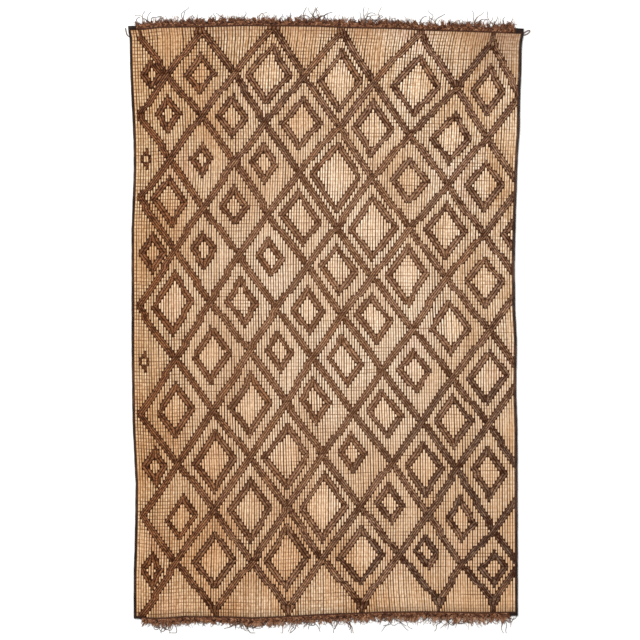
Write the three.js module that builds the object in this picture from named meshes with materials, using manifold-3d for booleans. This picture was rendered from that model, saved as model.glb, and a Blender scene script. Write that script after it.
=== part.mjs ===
// Reed and leather floor mat. Split reeds lie side by side along the mat's length, and rows of leather
// thong bind them. The thong floats over the reeds in diagonal bands that cross in a lattice, with a smaller
// diamond in each cell. Dark leather binds the long sides, and a plaited leather band with a ragged fringe
// closes each end. Millimetres, +Z up. The mat lies on Z = 0 with its length along Y and its top end at +Y.
import * as THREE from 'three';
import { mergeVertices } from 'three/addons/utils/BufferGeometryUtils.js';
import Module from 'manifold-3d';

const wasm = await Module();
wasm.setup();

// Weave: columns are counted from the left side, each a little wider than a reed, and rows of thong from the
// top end. The bands lie a little past the counts of the chart, by the drift.
const COLUMN_COUNT = 144;
const ROW_COUNT = 168;
const CHART_DRIFT = { column: -0.15, row: 0.42 };
const REED_LAYER = 5;
const BAND_RELIEF = 1.2;
const BAND_ROOT = 2;
const LATTICE_BAND_COLUMNS = 3.7;
const DIAMOND_BAND_COLUMNS = 3.2;
const STEM_COLUMNS = 1.7;
const RELIEF_MARGIN = 0.15;
const PLACE_PASSES = 5;

// Leather trim
const SEAM_GAP = 0.3;
const BINDING_WIDTH = 8.5;
const BINDING_HEIGHT = 6.5;
const CORNER_TABS = {
  topLeft: { reach: 16, depth: 14 },
  topRight: { reach: 17.5, depth: 18 },
  bottomLeft: { reach: 16.5, depth: 9 },
  bottomRight: { reach: 16, depth: 14 },
};
const END_BAND_WIDTH = 18;
const END_BAND_HEIGHT = 5.5;
const THONG_WIDTH = 3;
const THONG_HEIGHT = 2.5;

// Loose thong ends of the bindings at the top corners: out is counted from the binding's outer edge, along
// is the place along that edge
const HOOK = [
  { out: -5, along: 899 },
  { out: 1, along: 900.5 },
  { out: 8, along: 906 },
  { out: 11, along: 916 },
  { out: 13, along: 927 },
];
const HOOK_STEPS = 12;
const LOOP = { out: 8.6, along: 912.5, halfLength: 13.5, halfWidth: 5.4, tilt: 0.55 };
const LOOP_EYE = { out: 9.8, along: 913.3, halfLength: 7, halfWidth: 2.2, tilt: 0.55 };

// Fringe
const STRAND_COUNT = 100;
const STRAND_ROOT = 3;
const STRAND_HALF_WIDTHS = { base: 2.4, middle: 1.9, tip: 0.9 };
const STRAND_BEND = { height: 0.55, lean: -0.6 };
const STRAND_LENGTH = 11;
const STRAND_SPREAD = 14;
const STRAY_EVERY = 7;
const STRAY_LENGTH = 24;
const FRINGE_SALTS = { top: 1, bottom: 5 };

// Edges of the reed field: along runs with the edge, across is where the edge lies there
const LEFT_EDGE = [
  { along: 920, across: -614 },
  { along: 898, across: -609 },
  { along: 830, across: -608 },
  { along: 762, across: -606 },
  { along: 572, across: -597 },
  { along: 475, across: -596 },
  { along: 286, across: -603 },
  { along: -95, across: -603 },
  { along: -318, across: -600 },
  { along: -524, across: -590 },
  { along: -667, across: -592 },
  { along: -810, across: -596 },
  { along: -939, across: -596 },
];
const RIGHT_EDGE = [
  { along: 908, across: 626 },
  { along: 885, across: 621 },
  { along: 858, across: 619 },
  { along: 780, across: 618 },
  { along: 729, across: 615 },
  { along: 602, across: 613 },
  { along: 524, across: 607 },
  { along: 348, across: 601 },
  { along: 175, across: 597 },
  { along: 30, across: 599 },
  { along: -65, across: 604 },
  { along: -224, across: 602 },
  { along: -351, across: 606 },
  { along: -925, across: 607 },
];
const TOP_EDGE = [
  { along: -614, across: 920 },
  { along: -570, across: 921.5 },
  { along: -520, across: 927 },
  { along: -394, across: 929 },
  { along: -250, across: 932.5 },
  { along: -13, across: 930.5 },
  { along: 83, across: 926 },
  { along: 226, across: 923.5 },
  { along: 321, across: 918 },
  { along: 464, across: 914 },
  { along: 626, across: 908 },
];
const BOTTOM_EDGE = [
  { along: -596, across: -939 },
  { along: -545, across: -946 },
  { along: -500, across: -944.5 },
  { along: -442, across: -939.5 },
  { along: -320, across: -940.5 },
  { along: -225, across: -944.5 },
  { along: -60, across: -936 },
  { along: 178, across: -925.5 },
  { along: 321, across: -924 },
  { along: 490, across: -927.5 },
  { along: 607, across: -925.5 },
];

// Where the outline bends, counted in columns along the ends and in rows along the sides
const END_STOPS = [0, 6, 12, 18, 25, 33, 43, 54, 64, 71, 81, 93, 98, 110, 127, 144];
const SIDE_STOPS = [0, 2, 5, 12, 16, 29, 36, 51, 57, 67, 80, 91, 104, 114, 130, 143, 156, 168];

// Lattice chart, in counts of columns and rows: one line for each level of crossings, from the top end down.
// Bands run from each crossing to its two neighbours on the next level.
const LEVELS = [
  { columns: [3.5, 26, 53, 78, 107, 134], rows: [2, 0.4, -0.4, 0.4, 0, 2.5] },
  { columns: [13, 38, 64, 90, 121, 145], rows: [13, 13, 14, 15, 16, 18] },
  { columns: [2, 25, 49, 77, 104, 133], rows: [24, 25, 27, 28, 30, 30] },
  { columns: [13, 38, 62, 90, 119, 147], rows: [37, 38, 41, 43, 44, 44] },
  { columns: [2, 26, 51, 77, 105, 133], rows: [48, 51, 53, 57, 57, 58] },
  { columns: [16, 40, 66, 91, 119, 148], rows: [63, 64, 68, 71, 71, 72] },
  { columns: [2, 29, 54, 79, 106, 135], rows: [79, 78, 80, 82, 86, 86] },
  { columns: [16, 44, 68, 94, 121, 148], rows: [94, 92, 94, 98, 100, 99] },
  { columns: [2, 30, 58, 83, 109, 134], rows: [110, 109, 107, 110, 113, 113] },
  { columns: [16, 43, 71, 97, 122, 149], rows: [124, 122, 122, 125, 126, 130] },
  { columns: [2, 29, 57, 85, 111, 136], rows: [139, 137, 137, 137, 140, 144] },
  { columns: [15, 44, 71, 100, 124, 146], rows: [152, 152, 152, 151, 154, 154] },
  { columns: [2, 30, 58, 86, 115, 136], rows: [168, 165.5, 165.5, 165.5, 164.5, 164.5] },
];

// Small diamonds, one line for each level of cells, left to right: halves are their half widths in columns,
// and leads say how many columns and rows each one sits to the left of and above the middle of its cell
const DIAMONDS = [
  { halves: [6.5, 9, 9, 10, 7], leads: [0, 0, -0.5, -0.5, 0] },
  { halves: [5.5, 6.5, 8.5, 8.5, 8.5], leads: [0.6, 0.4, 0.3, 0.7, -0.7] },
  { halves: [5, 6, 10.5, 8, 8], leads: [0.5, 1.4, 0, 0.3, 0] },
  { halves: [7.5, 6, 8.5, 10, 9], leads: [0.8, 0.7, 0.6, 0, 0.3] },
  { halves: [5.5, 6, 8, 9, 8.5], leads: [1.3, 1, 0.4, 0.9, 0] },
  { halves: [8.5, 7, 7, 8, 8.5], leads: [0.4, 0.2, 0.4, 1.3, 0.3] },
  { halves: [8, 6, 7.5, 7, 8.5], leads: [0.3, 1, 1, 1.2, 0] },
  { halves: [8, 9, 6.5, 7.5, 8], leads: [0.3, 0, 1.6, 0.9, 0.4] },
  { halves: [9, 9.5, 6, 8, 7.5], leads: [-0.3, 0, 1.7, 0, 1.3] },
  { halves: [7, 9, 10, 6.5, 6.5], leads: [-1.4, 0, 0, 1.6, -0.2] },
  { halves: [9, 9.5, 9.5, 5.5, 6], leads: [-0.3, 0.3, 0, 1.9, -0.7] },
];

// Small diamonds and plain lozenges in the half cells along the two sides
const SIDE_DIAMONDS = [
  { column: 7, row: 13, halfColumns: 4.5, halfRows: 4.5, band: 2.4 },
  { column: 4, row: 37, halfColumns: 2.2, halfRows: 3, band: 1 },
  { column: 145, row: 58.5, halfColumns: 6, halfRows: 6, band: 2.4 },
  { column: 7, row: 64, halfColumns: 5.5, halfRows: 6, band: 2.4 },
  { column: 4, row: 95, halfColumns: 2.2, halfRows: 3, band: 1 },
  { column: 6.8, row: 125, halfColumns: 5, halfRows: 6, band: 2.4 },
  { column: 6, row: 154.5, halfColumns: 4.5, halfRows: 5.5, band: 2.4 },
];

const REED_MATERIAL = { color: 0xc9a678, roughness: 0.62, metalness: 0 };
const BINDING_MATERIAL = { color: 0x2b211c, roughness: 0.55, metalness: 0 };
const END_BAND_MATERIAL = { color: 0x5e3c2c, roughness: 0.7, metalness: 0 };

// Where an edge lies at a place along it, held at its last points beyond them
function edgeAt(edge, along) {
  const rising = edge[0].along < edge[edge.length - 1].along;
  const points = rising ? edge : [...edge].reverse();
  const next = points.findIndex((point) => point.along > along);
  if (next === 0) {
    return points[0].across;
  }
  if (next < 0) {
    return points[points.length - 1].across;
  }
  const low = points[next - 1];
  const high = points[next];
  return THREE.MathUtils.mapLinear(along, low.along, high.along, low.across, high.across);
}

// A place in the weave, counted in columns and rows, as a point on the mat
function place(column, row) {
  const across = column / COLUMN_COUNT;
  const down = row / ROW_COUNT;
  let x = 0;
  let y = 0;
  for (let pass = 0; pass < PLACE_PASSES; pass += 1) {
    y = THREE.MathUtils.lerp(edgeAt(TOP_EDGE, x), edgeAt(BOTTOM_EDGE, x), down);
    x = THREE.MathUtils.lerp(edgeAt(LEFT_EDGE, y), edgeAt(RIGHT_EDGE, y), across);
  }
  return new THREE.Vector2(x, y);
}

// A repeatable scatter between 0 and 1 for one strand of one end
function scatter(index, salt) {
  return THREE.MathUtils.seededRandom(STRAND_COUNT * salt + index);
}

// A closed solid from a plan shape, between two heights
function plate(shape, bottom, top) {
  const geometry = new THREE.ExtrudeGeometry(shape, { depth: top - bottom, bevelEnabled: false });
  geometry.translate(0, 0, bottom);
  geometry.deleteAttribute('normal');
  geometry.deleteAttribute('uv');
  const merged = mergeVertices(geometry);
  const vertProperties = new Float32Array(merged.attributes.position.array);
  const triVerts = new Uint32Array(merged.index.array);
  return new wasm.Manifold(new wasm.Mesh({ numProp: 3, vertProperties, triVerts }));
}

function namedMesh(name, solid, look) {
  const { vertProperties, triVerts } = solid.getMesh();
  const geometry = new THREE.BufferGeometry();
  geometry.setAttribute('position', new THREE.BufferAttribute(vertProperties, 3));
  geometry.setIndex(new THREE.BufferAttribute(triVerts, 1));
  geometry.computeVertexNormals();
  const mesh = new THREE.Mesh(geometry, new THREE.MeshStandardMaterial(look));
  mesh.name = name;
  return mesh;
}

// The outline of the reed field, drawn in by a margin counted in columns and rows
function fieldShape(margin) {
  const right = COLUMN_COUNT - margin;
  const bottom = ROW_COUNT - margin;
  const columns = END_STOPS.map((column) => THREE.MathUtils.clamp(column, margin, right));
  const rows = SIDE_STOPS.map((row) => THREE.MathUtils.clamp(row, margin, bottom));
  return new THREE.Shape([
    ...columns.slice(0, -1).map((column) => place(column, margin)),
    ...rows.slice(0, -1).map((row) => place(right, row)),
    ...columns.slice(1).reverse().map((column) => place(column, bottom)),
    ...rows.slice(1).reverse().map((row) => place(margin, row)),
  ]);
}

// Where a crossing of the chart lies in the weave
function crossing(level, index) {
  return {
    column: LEVELS[level].columns[index] + CHART_DRIFT.column,
    row: LEVELS[level].rows[index] + CHART_DRIFT.row,
  };
}

// One thong band between two places in the weave, so many columns wide
function bandSolid(from, to, width) {
  const half = width / 2;
  const shape = new THREE.Shape([
    place(from.column - half, from.row),
    place(from.column + half, from.row),
    place(to.column + half, to.row),
    place(to.column - half, to.row),
  ]);
  return plate(shape, BAND_ROOT, REED_LAYER + BAND_RELIEF);
}

// Bands of the lattice. On even levels the first crossing touches the left side, on odd levels the last one
// lies past the right side, where the edge cuts it off.
function latticeBands() {
  const bands = [];
  for (let level = 0; level + 1 < LEVELS.length; level += 1) {
    const count = LEVELS[level].columns.length;
    const leanings = level % 2 === 0 ? [-1, 0] : [0, 1];
    for (let index = 0; index < count; index += 1) {
      const targets = leanings.map((lean) => index + lean).filter((to) => to >= 0 && to < count);
      targets.forEach((to) => {
        bands.push(bandSolid(crossing(level, index), crossing(level + 1, to), LATTICE_BAND_COLUMNS));
      });
    }
  }
  return bands;
}

// Short stems that carry the outermost crossings straight on to the ends
function stemBands() {
  const last = LEVELS.length - 1;
  const stems = [];
  for (let index = 0; index < LEVELS[0].columns.length; index += 1) {
    const foot = crossing(0, index);
    const head = crossing(last, index);
    if (foot.row > 0) {
      stems.push(bandSolid({ ...foot, row: 0 }, { ...foot, row: foot.row + 1 }, STEM_COLUMNS));
    }
    if (head.row < ROW_COUNT) {
      stems.push(bandSolid({ ...head, row: head.row - 1 }, { ...head, row: ROW_COUNT }, STEM_COLUMNS));
    }
  }
  return stems;
}

// A diamond ring around a centre: corners are its outer top, left, bottom and right, inner is the share of
// that size which stays open
function ringSolid(centre, corners, inner) {
  const outline = (share) => corners.map((corner) => place(
    THREE.MathUtils.lerp(centre.column, corner.column, share),
    THREE.MathUtils.lerp(centre.row, corner.row, share),
  ));
  const shape = new THREE.Shape(outline(1));
  shape.holes.push(new THREE.Path(outline(inner)));
  return plate(shape, BAND_ROOT, REED_LAYER + BAND_RELIEF);
}

// The small diamond inside each whole cell, on the cell's own axes
function cellDiamonds() {
  const rings = [];
  DIAMONDS.forEach(({ halves, leads }, line) => {
    const level = line + 1;
    const shift = level % 2;
    halves.forEach((half, index) => {
      const [top, left, bottom, right] = [
        crossing(level - 1, index + shift),
        crossing(level, index),
        crossing(level + 1, index + shift),
        crossing(level, index + 1),
      ];
      const middle = { column: (left.column + right.column) / 2, row: (top.row + bottom.row) / 2 };
      const centre = { column: middle.column - leads[index], row: middle.row - leads[index] };
      const share = (2 * half) / (right.column - left.column);
      const corners = [top, left, bottom, right].map((corner) => ({
        column: centre.column + share * (corner.column - middle.column),
        row: centre.row + share * (corner.row - middle.row),
      }));
      rings.push(ringSolid(centre, corners, 1 - DIAMOND_BAND_COLUMNS / half));
    });
  });
  return rings;
}

function sideDiamonds() {
  return SIDE_DIAMONDS.map(({ column, row, halfColumns, halfRows, band }) => {
    const corners = [
      { column, row: row - halfRows },
      { column: column - halfColumns, row },
      { column, row: row + halfRows },
      { column: column + halfColumns, row },
    ];
    return ringSolid({ column, row }, corners, 1 - band / halfColumns);
  });
}

function matField() {
  const bands = [...latticeBands(), ...stemBands(), ...cellDiamonds(), ...sideDiamonds()];
  const clip = plate(fieldShape(RELIEF_MARGIN), 0, REED_LAYER + 2 * BAND_RELIEF);
  const relief = wasm.Manifold.union(bands).intersect(clip);
  return plate(fieldShape(0), 0, REED_LAYER).add(relief);
}

// A flat thong of even width along a few points
function thongShape(points) {
  const curve = new THREE.SplineCurve(points);
  const left = [];
  const right = [];
  for (let step = 0; step <= HOOK_STEPS; step += 1) {
    const at = curve.getPoint(step / HOOK_STEPS);
    const along = curve.getTangent(step / HOOK_STEPS);
    const across = new THREE.Vector2(-along.y, along.x).multiplyScalar(THONG_WIDTH / 2);
    left.push(at.clone().add(across));
    right.unshift(at.clone().sub(across));
  }
  return new THREE.Shape([...left, ...right]);
}

// The binding of one long side, which turns both corners: side is -1 on the left and 1 on the right
function bindingShape(corners, side, top, bottom) {
  const edge = SIDE_STOPS.map((row) => place(side < 0 ? 0 : COLUMN_COUNT, row));
  const outer = edge.map(({ x, y }) => new THREE.Vector2(x + side * BINDING_WIDTH, y));
  const inner = edge.map(({ x, y }) => new THREE.Vector2(x + side * SEAM_GAP, y)).reverse();
  const last = outer.length - 1;
  inner[last].y += SEAM_GAP;
  inner[0].y -= SEAM_GAP;
  const topEnd = corners.top - side * top.reach;
  const bottomEnd = corners.bottom - side * bottom.reach;
  return new THREE.Shape([
    new THREE.Vector2(outer[0].x, outer[0].y + top.depth),
    ...outer,
    new THREE.Vector2(outer[last].x, outer[last].y - bottom.depth),
    new THREE.Vector2(bottomEnd, edgeAt(BOTTOM_LINE, bottomEnd) - bottom.depth),
    new THREE.Vector2(bottomEnd, edgeAt(BOTTOM_LINE, bottomEnd) - SEAM_GAP),
    ...inner,
    new THREE.Vector2(topEnd, edgeAt(TOP_LINE, topEnd) + SEAM_GAP),
    new THREE.Vector2(topEnd, edgeAt(TOP_LINE, topEnd) + top.depth),
  ]);
}

// The straight stretches of the field's outline along one end
function endLine(row) {
  return END_STOPS.map((column) => {
    const { x, y } = place(column, row);
    return { along: x, across: y };
  });
}

const TOP_LINE = endLine(0);
const BOTTOM_LINE = endLine(ROW_COUNT);

// The corners of the field, as x at the top and bottom of each side
const LEFT_CORNERS = { top: place(0, 0).x, bottom: place(0, ROW_COUNT).x };
const RIGHT_CORNERS = { top: place(COLUMN_COUNT, 0).x, bottom: place(COLUMN_COUNT, ROW_COUNT).x };

// The left binding's loose thong end hooks up beside the corner
function leftBinding() {
  const shape = bindingShape(LEFT_CORNERS, -1, CORNER_TABS.topLeft, CORNER_TABS.bottomLeft);
  const edge = edgeAt(LEFT_EDGE, HOOK[0].along) - BINDING_WIDTH;
  const hook = thongShape(HOOK.map(({ out, along }) => new THREE.Vector2(edge - out, along)));
  return plate(shape, 0, BINDING_HEIGHT).add(plate(hook, 0, THONG_HEIGHT));
}

// The right binding's loose thong end is doubled back into a small loop
function rightBinding() {
  const shape = bindingShape(RIGHT_CORNERS, 1, CORNER_TABS.topRight, CORNER_TABS.bottomRight);
  const edge = edgeAt(RIGHT_EDGE, LOOP.along) + BINDING_WIDTH;
  const trace = (path, { out, along, halfLength, halfWidth, tilt }, clockwise) => (
    path.absellipse(edge + out, along, halfLength, halfWidth, 0, 2 * Math.PI, clockwise, tilt)
  );
  const loop = trace(new THREE.Shape(), LOOP, false);
  loop.holes.push(trace(new THREE.Path(), LOOP_EYE, true));
  return plate(shape, 0, BINDING_HEIGHT).add(plate(loop, 0, THONG_HEIGHT));
}

// How far a fringe strand reaches past its band: most are short, and now and then one strays
function strandLength(index, salt) {
  const short = STRAND_LENGTH + STRAND_SPREAD * scatter(index, salt);
  return index % STRAY_EVERY === 0 ? short + STRAY_LENGTH * scatter(index, salt + 1) : short;
}

// Fringe strands in plan, each on its own stretch of the band's outer edge, joined inside the band
function fringeShape(line, side, from, to, salt) {
  const pitch = (to - from) / STRAND_COUNT;
  const play = pitch / 2 - STRAND_HALF_WIDTHS.base - SEAM_GAP;
  const outer = [];
  const inner = [];
  for (let index = 0; index < STRAND_COUNT; index += 1) {
    const x = from + (index + 0.5) * pitch;
    const root = edgeAt(line, x) + side * (END_BAND_WIDTH - STRAND_ROOT);
    const reach = STRAND_ROOT + strandLength(index, salt);
    const lean = play * (2 * scatter(index, salt + 2) - 1);
    const bend = root + STRAND_BEND.height * side * reach;
    const stations = [
      { x, y: root, half: STRAND_HALF_WIDTHS.base },
      { x: x + STRAND_BEND.lean * lean, y: bend, half: STRAND_HALF_WIDTHS.middle },
      { x: x + lean, y: root + side * reach, half: STRAND_HALF_WIDTHS.tip },
    ];
    stations.forEach((at) => outer.push(new THREE.Vector2(at.x - at.half, at.y)));
    stations.reverse().forEach((at) => outer.push(new THREE.Vector2(at.x + at.half, at.y)));
    inner.unshift(new THREE.Vector2(x, root - side * STRAND_ROOT));
  }
  return new THREE.Shape([...outer, ...inner]);
}

// The band across one end: side is 1 at the top and -1 at the bottom
function endBand(line, side, from, to, salt) {
  const between = line.map((point) => point.along).filter((x) => x > from && x < to);
  const outer = [];
  const inner = [];
  [from, ...between, to].forEach((x) => {
    outer.push(new THREE.Vector2(x, edgeAt(line, x) + side * END_BAND_WIDTH));
    inner.unshift(new THREE.Vector2(x, edgeAt(line, x) + side * SEAM_GAP));
  });
  const strip = plate(new THREE.Shape([...outer, ...inner]), 0, END_BAND_HEIGHT);
  const fringe = fringeShape(line, side, from + STRAND_ROOT, to - STRAND_ROOT, salt);
  return strip.add(plate(fringe, 0, THONG_HEIGHT));
}

function topBand() {
  const from = LEFT_CORNERS.top + CORNER_TABS.topLeft.reach + SEAM_GAP;
  const to = RIGHT_CORNERS.top - CORNER_TABS.topRight.reach - SEAM_GAP;
  return endBand(TOP_LINE, 1, from, to, FRINGE_SALTS.top);
}

function bottomBand() {
  const from = LEFT_CORNERS.bottom + CORNER_TABS.bottomLeft.reach + SEAM_GAP;
  const to = RIGHT_CORNERS.bottom - CORNER_TABS.bottomRight.reach - SEAM_GAP;
  return endBand(BOTTOM_LINE, -1, from, to, FRINGE_SALTS.bottom);
}

const mat = new THREE.Group();
mat.add(namedMesh('mat_field', matField(), REED_MATERIAL));
mat.add(namedMesh('binding_left', leftBinding(), BINDING_MATERIAL));
mat.add(namedMesh('binding_right', rightBinding(), BINDING_MATERIAL));
mat.add(namedMesh('end_band_top', topBand(), END_BAND_MATERIAL));
mat.add(namedMesh('end_band_bottom', bottomBand(), END_BAND_MATERIAL));

export default mat;
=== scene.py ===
import bpy
import numpy as np
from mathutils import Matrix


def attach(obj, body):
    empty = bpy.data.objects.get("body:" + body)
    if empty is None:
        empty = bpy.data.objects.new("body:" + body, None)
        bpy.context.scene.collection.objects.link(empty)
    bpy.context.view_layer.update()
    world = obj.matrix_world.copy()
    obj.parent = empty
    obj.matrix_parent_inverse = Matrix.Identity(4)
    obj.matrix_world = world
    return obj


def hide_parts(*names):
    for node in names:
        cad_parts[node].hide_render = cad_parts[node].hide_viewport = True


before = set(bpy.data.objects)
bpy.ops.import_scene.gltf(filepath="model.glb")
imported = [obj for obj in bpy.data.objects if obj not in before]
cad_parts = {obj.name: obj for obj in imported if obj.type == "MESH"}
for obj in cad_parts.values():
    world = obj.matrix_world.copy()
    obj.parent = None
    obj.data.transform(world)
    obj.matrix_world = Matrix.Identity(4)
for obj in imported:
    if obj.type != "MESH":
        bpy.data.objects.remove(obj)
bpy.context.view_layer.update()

MM = 0.001
RANDOM = np.random.default_rng(19)
TINY = 1e-9

# Weave, in reeds from the left side and rows of thong from the top end
REED_COUNT = 152
ROW_COUNT = 168

# The chart's columns are a little wider than reeds, and its bands lie off by the drift
CHART_COLUMNS = 144
REEDS_A_COLUMN = REED_COUNT / CHART_COLUMNS
CHART_DRIFT = (-0.15, 0.42)

# Kinds of band, and the widths of bands and stems in reeds
LATTICE, DIAMOND = 1, 2
LATTICE_REEDS = 3
DIAMOND_REEDS = 2.85
SIDE_REEDS = {"diamond": 2.85, "lozenge": 1}
STEM_REEDS = 1.8

# How far a diamond's corners draw in, in reeds and rows
DIAMOND_SQUEEZE = 0.25

# Wedges at the lattice's ends: level, way, reeds gained, then reeds lost a row and rows over the crossing
WEDGES = [(0, -1, 0.4), (-1, 1, 1.7)]
WEDGE_SLOPE = 1.7
WEDGE_OVERLAP = 0.8

# Heights in millimetres above the floor
ROW_STRIP = {"bottom": 0.05, "top": 0.75}
REED = {"bottom": 0.9, "top": 5.0, "dipped": 3.9}
FLOAT = {"edge": 3.6, "notch": 0.15}

# Leather trim, in millimetres
SEAM_GAP = 0.3
BINDING_WIDTH = 8.5
BINDING_HEIGHT = 6.5
TAB_REACH = {"top_left": 16, "top_right": 17.5, "bottom_left": 16.5, "bottom_right": 16}
TAB_DEPTH = {"top_left": 14, "top_right": 18, "bottom_left": 9, "bottom_right": 14}
THONG_WIDTH = 3.45
THONG_HEIGHT = 2.5

# Edges of the reed field in millimetres: place along the edge, place of the edge across it
LEFT_EDGE = [
    (920, -614), (898, -609), (830, -608), (762, -606), (572, -597), (475, -596), (286, -603),
    (-95, -603), (-318, -600), (-524, -590), (-667, -592), (-810, -596), (-939, -596),
]
RIGHT_EDGE = [
    (908, 626), (885, 621), (858, 619), (780, 618), (729, 615), (602, 613), (524, 607), (348, 601),
    (175, 597), (30, 599), (-65, 604), (-224, 602), (-351, 606), (-925, 607),
]
TOP_EDGE = [
    (-614, 920), (-570, 921.5), (-520, 927), (-394, 929), (-250, 932.5), (-13, 930.5),
    (83, 926), (226, 923.5), (321, 918), (464, 914), (626, 908),
]
BOTTOM_EDGE = [
    (-596, -939), (-545, -946), (-500, -944.5), (-442, -939.5), (-320, -940.5), (-225, -944.5),
    (-60, -936), (178, -925.5), (321, -924), (490, -927.5), (607, -925.5),
]

# Rounds that settle a place between the four edges
PLACE_ROUNDS = 5

# Lattice chart: columns and rows of the crossings on each level, from the top end down
LEVELS = [
    ([3.5, 26, 53, 78, 107, 134], [2, 0.4, -0.4, 0.4, 0, 2.5]),
    ([13, 38, 64, 90, 121, 145], [13, 13, 14, 15, 16, 18]),
    ([2, 25, 49, 77, 104, 133], [24, 25, 27, 28, 30, 30]),
    ([13, 38, 62, 90, 119, 147], [37, 38, 41, 43, 44, 44]),
    ([2, 26, 51, 77, 105, 133], [48, 51, 53, 57, 57, 58]),
    ([16, 40, 66, 91, 119, 148], [63, 64, 68, 71, 71, 72]),
    ([2, 29, 54, 79, 106, 135], [79, 78, 80, 82, 86, 86]),
    ([16, 44, 68, 94, 121, 148], [94, 92, 94, 98, 100, 99]),
    ([2, 30, 58, 83, 109, 134], [110, 109, 107, 110, 113, 113]),
    ([16, 43, 71, 97, 122, 149], [124, 122, 122, 125, 126, 130]),
    ([2, 29, 57, 85, 111, 136], [139, 137, 137, 137, 140, 144]),
    ([15, 44, 71, 100, 124, 146], [152, 152, 152, 151, 154, 154]),
    ([2, 30, 58, 86, 115, 136], [168, 165.5, 165.5, 165.5, 164.5, 164.5]),
]

# Small diamonds of each line of cells: half widths in columns, how far up and left they sit
DIAMONDS = [
    ([6.5, 9, 9, 10, 7], [0, 0, -0.5, -0.5, 0]),
    ([5.5, 6.5, 8.5, 8.5, 8.5], [0.6, 0.4, 0.3, 0.7, -0.7]),
    ([5, 6, 10.5, 8, 8], [0.5, 1.4, 0, 0.3, 0]),
    ([7.5, 6, 8.5, 10, 9], [0.8, 0.7, 0.6, 0, 0.3]),
    ([5.5, 6, 8, 9, 8.5], [1.3, 1, 0.4, 0.9, 0]),
    ([8.5, 7, 7, 8, 8.5], [0.4, 0.2, 0.4, 1.3, 0.3]),
    ([8, 6, 7.5, 7, 8.5], [0.3, 1, 1, 1.2, 0]),
    ([8, 9, 6.5, 7.5, 8], [0.3, 0, 1.6, 0.9, 0.4]),
    ([9, 9.5, 6, 8, 7.5], [-0.3, 0, 1.7, 0, 1.3]),
    ([7, 9, 10, 6.5, 6.5], [-1.4, 0, 0, 1.6, -0.2]),
    ([9, 9.5, 9.5, 5.5, 6], [-0.3, 0.3, 0, 1.9, -0.7]),
]

# Figures in the half cells along the sides: column, row, half width in columns, half height in rows, kind
SIDE_FIGURES = [
    (7, 13, 4.5, 4.5, "diamond"),
    (4, 37, 2.2, 3, "lozenge"),
    (145, 58.5, 6, 6, "diamond"),
    (7, 64, 5.5, 6, "diamond"),
    (4, 95, 2.2, 3, "lozenge"),
    (6.8, 125, 5, 6, "diamond"),
    (6, 154.5, 4.5, 5.5, "diamond"),
]

# Lean of the reeds near the ends: by how many reeds, over how many rows, and where across the mat
TOP_LEAN = {"reeds": 2.4, "rows": 28}
TOP_LEAN_SHARES = ([0.13, 0.3, 0.86, 1], [0, 1, 1, 0])
BOTTOM_LEAN = {"rows": 14, "middle": 0.72, "spread": 0.15}

# Waver of the weave across and along the mat: reach in reeds or rows, reeds and rows to a radian, start
SWAYS = [(0.16, 5.3, 9.1, 0), (0.13, 2.9, -13.7, 1.3)]
SAGS = [(0.14, 7.7, -6.1, 0.4), (0.12, 15.1, 11.3, 0)]
EDGE_CALM = 0.3


def edge_at(edge, along):
    """Where an edge lies at places along it."""
    ordered = np.array(sorted(edge))
    return np.interp(along, ordered[:, 0], ordered[:, 1])


def place(reed, row):
    """Points on the mat, in millimetres, of places counted in reeds and rows."""
    across, down = reed / REED_COUNT, row / ROW_COUNT
    x = np.zeros(np.broadcast(across, down).shape)
    for _ in range(PLACE_ROUNDS):
        top, bottom = edge_at(TOP_EDGE, x), edge_at(BOTTOM_EDGE, x)
        y = top + (bottom - top) * down
        left, right = edge_at(LEFT_EDGE, y), edge_at(RIGHT_EDGE, y)
        x = left + (right - left) * across
    return x, y


def fading(rows, over):
    """1 at an end of the mat, 0 so many rows from it."""
    return np.clip(1 - rows / over, 0, 1) ** 2


def leaning(reed, row):
    """How many reeds to the right a reed leans near either end."""
    across = np.clip(reed / REED_COUNT, 0, 1)
    top = TOP_LEAN["reeds"] * np.interp(across, *TOP_LEAN_SHARES) * fading(row, TOP_LEAN["rows"])
    bottom = np.exp(-((across - BOTTOM_LEAN["middle"]) / BOTTOM_LEAN["spread"]) ** 2)
    return top + bottom * fading(ROW_COUNT - row, BOTTOM_LEAN["rows"])


def wavering(waves, reed, row):
    """How far the waves move a place in the weave."""
    return sum(reach * np.sin(reed / reeds + row / rows + start) for reach, reeds, rows, start in waves)


def woven(reed, row):
    """As place, with the lean and waver of a weave made by hand."""
    inside = np.sin(np.pi * np.clip(reed / REED_COUNT, 0, 1)) ** EDGE_CALM
    inside = inside * np.sin(np.pi * np.clip(row / ROW_COUNT, 0, 1)) ** EDGE_CALM
    sway, sag = wavering(SWAYS, reed, row), wavering(SAGS, reed, row)
    return place(reed + sway * inside + leaning(reed, row), row + sag * inside)


def drawn(measure):
    """A draw from a range, or a single value as it is."""
    return RANDOM.uniform(*measure) if isinstance(measure, tuple) else measure


def srgb(red, green, blue):
    """Linear colour, with alpha, of a display colour."""
    parts = [c / 255 for c in (red, green, blue)]
    return tuple(c / 12.92 if c < 0.04045 else ((c + 0.055) / 1.055) ** 2.4 for c in parts) + (1,)


WHITE = srgb(255, 255, 255)
BUMP_STRENGTH = 0.8
SPECULAR = 0.08

# Soft spots on the mat: a mapping of its place in metres, and the fall from it that is taken as 0 and as 1.
# The middle one is a painted pool of light
LIGHT_POOL = ({"Scale": (1.3, 0.95, 0)}, 0.1, 0.8)
LOW_RIGHT = ({"Location": (-0.9, 0.8, 0), "Scale": (1.8, 1.3, 0)}, 0.0, 0.8)


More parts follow.
